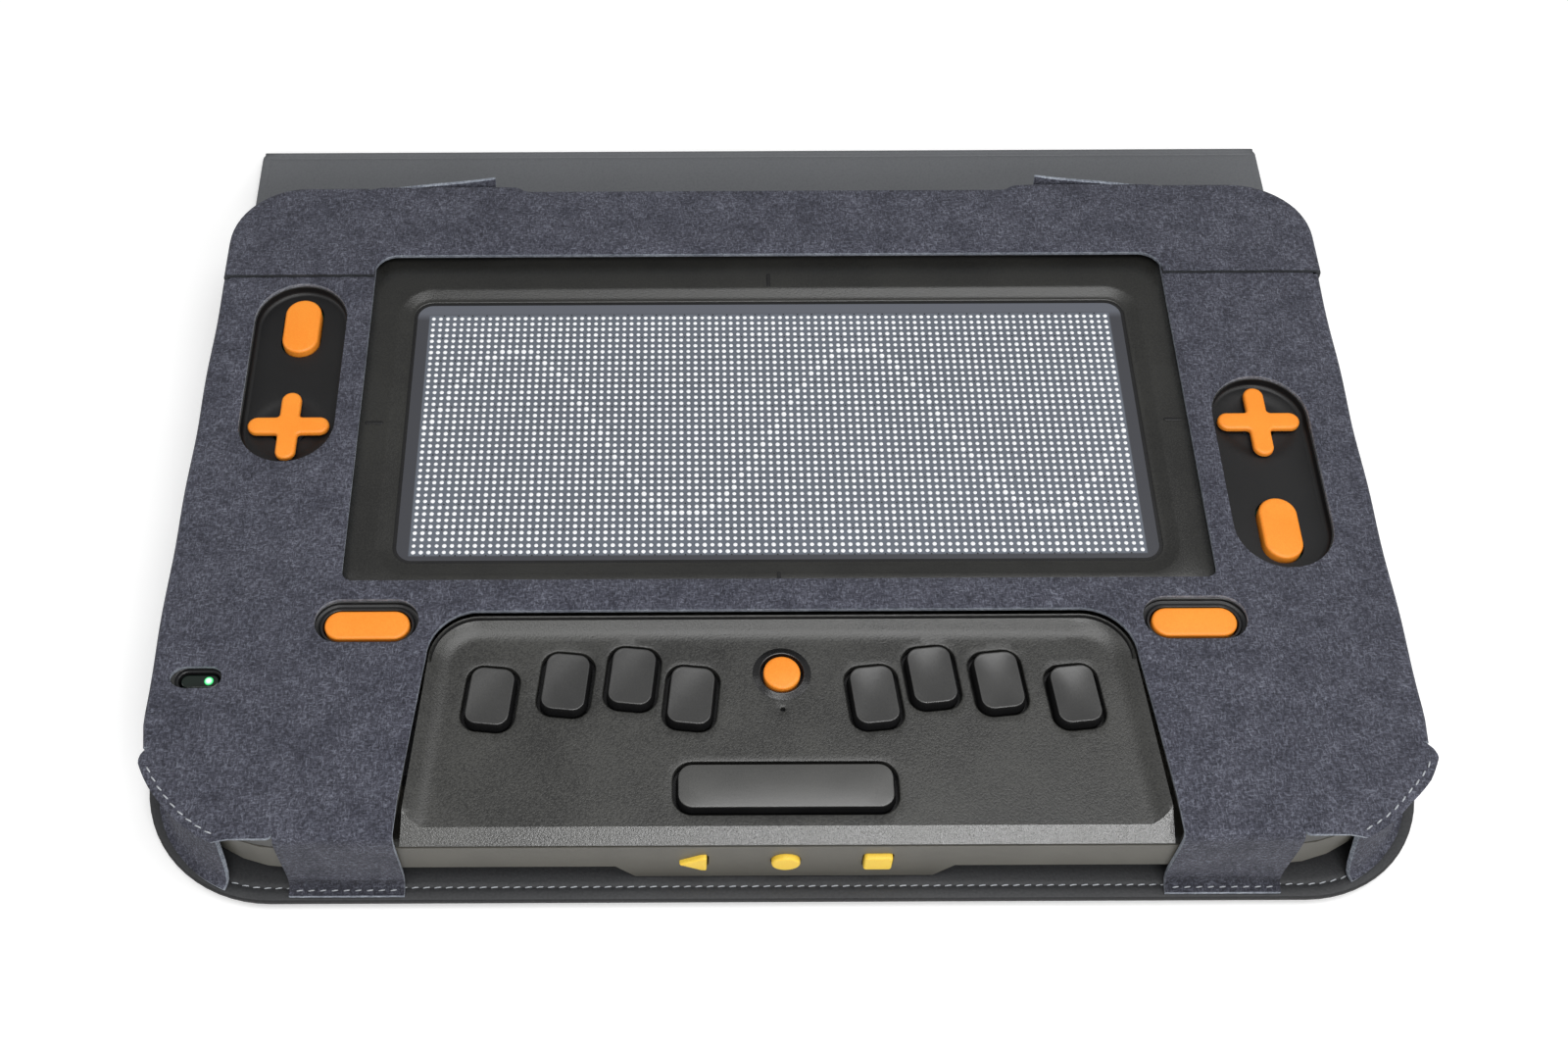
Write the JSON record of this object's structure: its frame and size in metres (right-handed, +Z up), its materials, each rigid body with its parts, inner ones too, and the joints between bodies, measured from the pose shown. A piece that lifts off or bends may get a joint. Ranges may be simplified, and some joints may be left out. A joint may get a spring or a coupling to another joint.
{
  "type": "refreshable braille display",
  "caption": "Portable tactile display with a field of braille pins, chord keys and side pads, in a felt case whose cover folds under it.",
  "frame": {"origin": "centre of the open case's footprint, on the table", "axes": "+X to the reader's right, +Y away from the reader, +Z up"},
  "size_m": [0.404, 0.3152, 0.0416],
  "materials": {
    "felt": "needled felt, dark slate grey with pale fibres",
    "leatherette": "fine-grained coated cloth over stiff board, dark grey",
    "black_plastic": "fine satin texture, near black",
    "grey_plastic": "satin, warm dark grey",
    "orange_plastic": "satin orange",
    "yellow_plastic": "satin yellow",
    "touch_film": "smooth bluish grey film over a sheet",
    "pin_white": "smooth white",
    "inner_plastic": "plain moulded",
    "circuit_board": "glass fibre board",
    "steel": "plated",
    "foot_rubber": "matt",
    "status_lens": "smoked clear lens with a green light"
  },
  "bodies": {
    "device": {"base_board": "leatherette", "battery_pack": "inner_plastic", "case_screw_1": "steel", "case_screw_2": "steel", "case_screw_3": "steel", "case_screw_4": "steel", "charge_socket": "steel", "display_bezel": "black_plastic", "felt_top": "felt", "felt_wall_left": "felt", "felt_wall_right": "felt", "foot_1": "foot_rubber", "foot_2": "foot_rubber", "foot_3": "foot_rubber", "foot_4": "foot_rubber", "host_socket": "steel", "key_board": "circuit_board", "lower_shell": "grey_plastic", "main_board": "circuit_board", "microphone": "steel", "module_board": "circuit_board", "pad_board_left": "circuit_board", "pad_board_right": "circuit_board", "pin_module_1": "inner_plastic", "pin_module_2": "inner_plastic", "pin_module_3": "inner_plastic", "pin_module_4": "inner_plastic", "pin_module_5": "inner_plastic", "speaker": "inner_plastic", "status_lens": "status_lens", "touch_plate": "touch_film", "upper_shell": "black_plastic"},
    "rear_flap": {"flap_strip": "felt", "flap_wall_left": "felt", "flap_wall_right": "felt"},
    "spine": {"spine_panel": "leatherette"},
    "cover": {"cover_panel": "leatherette"},
    "raised_pins": {"raised_pins": "pin_white"},
    "key_1": {"key_1": "black_plastic"},
    "key_2": {"key_2": "black_plastic"},
    "key_3": {"key_3": "black_plastic"},
    "key_4": {"key_4": "black_plastic"},
    "key_5": {"key_5": "black_plastic"},
    "key_6": {"key_6": "black_plastic"},
    "key_7": {"key_7": "black_plastic"},
    "key_8": {"key_8": "black_plastic"},
    "space_bar": {"space_bar": "black_plastic"},
    "centre_button": {"centre_button": "orange_plastic"},
    "pad_pivot_left": {"pad_pivot_left": "inner_plastic"},
    "cross_pad_left": {"cross_pad_left": "orange_plastic"},
    "pill_left": {"pill_left": "orange_plastic"},
    "low_pill_left": {"low_pill_left": "orange_plastic"},
    "pad_pivot_right": {"pad_pivot_right": "inner_plastic"},
    "cross_pad_right": {"cross_pad_right": "orange_plastic"},
    "pill_right": {"pill_right": "orange_plastic"},
    "low_pill_right": {"low_pill_right": "orange_plastic"},
    "back_button": {"back_button": "yellow_plastic"},
    "home_button": {"home_button": "yellow_plastic"},
    "recent_button": {"recent_button": "yellow_plastic"},
    "power_button": {"power_button": "black_plastic"}
  },
  "joints": [
    {"name": "flap_hinge", "type": "hinge", "parent": "device", "child": "rear_flap", "pos_m": [0, 0.10833, 0.006], "axis": [1, 0, 0], "range_deg": [-90, 0]},
    {"name": "spine_hinge", "type": "hinge", "parent": "device", "child": "spine", "pos_m": [0, 0.11793, 0.0057], "axis": [1, 0, 0], "range_deg": [0, 90]},
    {"name": "cover_hinge", "type": "hinge", "parent": "spine", "child": "cover", "pos_m": [0, 0.15787, 0.00285], "axis": [1, 0, 0], "range_deg": [0, 270]},
    {"name": "raised_pins_slide", "type": "slide", "parent": "device", "child": "raised_pins", "axis": [0, 0, 1], "range_m": [-0.0007, 0]},
    {"name": "key_1_slide", "type": "slide", "parent": "device", "child": "key_1", "axis": [0, 0, 1], "range_m": [-0.0018, 0], "stiffness_N_per_m": 300, "springref_m": 0.0006},
    {"name": "key_2_slide", "type": "slide", "parent": "device", "child": "key_2", "axis": [0, 0, 1], "range_m": [-0.0018, 0], "stiffness_N_per_m": 300, "springref_m": 0.0006},
    {"name": "key_3_slide", "type": "slide", "parent": "device", "child": "key_3", "axis": [0, 0, 1], "range_m": [-0.0018, 0], "stiffness_N_per_m": 300, "springref_m": 0.0006},
    {"name": "key_4_slide", "type": "slide", "parent": "device", "child": "key_4", "axis": [0, 0, 1], "range_m": [-0.0018, 0], "stiffness_N_per_m": 300, "springref_m": 0.0006},
    {"name": "key_5_slide", "type": "slide", "parent": "device", "child": "key_5", "axis": [0, 0, 1], "range_m": [-0.0018, 0], "stiffness_N_per_m": 300, "springref_m": 0.0006},
    {"name": "key_6_slide", "type": "slide", "parent": "device", "child": "key_6", "axis": [0, 0, 1], "range_m": [-0.0018, 0], "stiffness_N_per_m": 300, "springref_m": 0.0006},
    {"name": "key_7_slide", "type": "slide", "parent": "device", "child": "key_7", "axis": [0, 0, 1], "range_m": [-0.0018, 0], "stiffness_N_per_m": 300, "springref_m": 0.0006},
    {"name": "key_8_slide", "type": "slide", "parent": "device", "child": "key_8", "axis": [0, 0, 1], "range_m": [-0.0018, 0], "stiffness_N_per_m": 300, "springref_m": 0.0006},
    {"name": "space_bar_slide", "type": "slide", "parent": "device", "child": "space_bar", "axis": [0, 0, 1], "range_m": [-0.0018, 0], "stiffness_N_per_m": 300, "springref_m": 0.0008},
    {"name": "centre_button_slide", "type": "slide", "parent": "device", "child": "centre_button", "axis": [0, 0, 1], "range_m": [-0.0006, 0], "stiffness_N_per_m": 300, "springref_m": 0.0004},
    {"name": "pad_pivot_left_rock", "type": "hinge", "parent": "device", "child": "pad_pivot_left", "pos_m": [-0.165, 0.00112, 0.03145], "axis": [1, 0, 0], "range_deg": [-2.5, 2.5], "stiffness_Nm_per_rad": 0.06},
    {"name": "cross_pad_left_rock", "type": "hinge", "parent": "pad_pivot_left", "child": "cross_pad_left", "pos_m": [-0.165, 0.00112, 0.03145], "axis": [0, 1, 0], "range_deg": [-2.5, 2.5], "stiffness_Nm_per_rad": 0.06},
    {"name": "pill_left_slide", "type": "slide", "parent": "device", "child": "pill_left", "axis": [0, 0, 1], "range_m": [-0.0007, 0], "stiffness_N_per_m": 300, "springref_m": 0.0005},
    {"name": "low_pill_left_slide", "type": "slide", "parent": "device", "child": "low_pill_left", "axis": [0, 0, 1], "range_m": [-0.0007, 0], "stiffness_N_per_m": 300, "springref_m": 0.0005},
    {"name": "pad_pivot_right_rock", "type": "hinge", "parent": "device", "child": "pad_pivot_right", "pos_m": [0.165, 0.00112, 0.03145], "axis": [1, 0, 0], "range_deg": [-2.5, 2.5], "stiffness_Nm_per_rad": 0.06},
    {"name": "cross_pad_right_rock", "type": "hinge", "parent": "pad_pivot_right", "child": "cross_pad_right", "pos_m": [0.165, 0.00112, 0.03145], "axis": [0, 1, 0], "range_deg": [-2.5, 2.5], "stiffness_Nm_per_rad": 0.06},
    {"name": "pill_right_slide", "type": "slide", "parent": "device", "child": "pill_right", "axis": [0, 0, 1], "range_m": [-0.0007, 0], "stiffness_N_per_m": 300, "springref_m": 0.0005},
    {"name": "low_pill_right_slide", "type": "slide", "parent": "device", "child": "low_pill_right", "axis": [0, 0, 1], "range_m": [-0.0007, 0], "stiffness_N_per_m": 300, "springref_m": 0.0005},
    {"name": "back_button_slide", "type": "slide", "parent": "device", "child": "back_button", "axis": [0, -1, 0], "range_m": [-0.0008, 0], "stiffness_N_per_m": 300, "springref_m": 0.0005},
    {"name": "home_button_slide", "type": "slide", "parent": "device", "child": "home_button", "axis": [0, -1, 0], "range_m": [-0.0008, 0], "stiffness_N_per_m": 300, "springref_m": 0.0005},
    {"name": "recent_button_slide", "type": "slide", "parent": "device", "child": "recent_button", "axis": [0, -1, 0], "range_m": [-0.0008, 0], "stiffness_N_per_m": 300, "springref_m": 0.0005},
    {"name": "power_button_slide", "type": "slide", "parent": "device", "child": "power_button", "axis": [0, 1, 0], "range_m": [-0.0006, 0], "stiffness_N_per_m": 300, "springref_m": 0.0004}
  ]
}
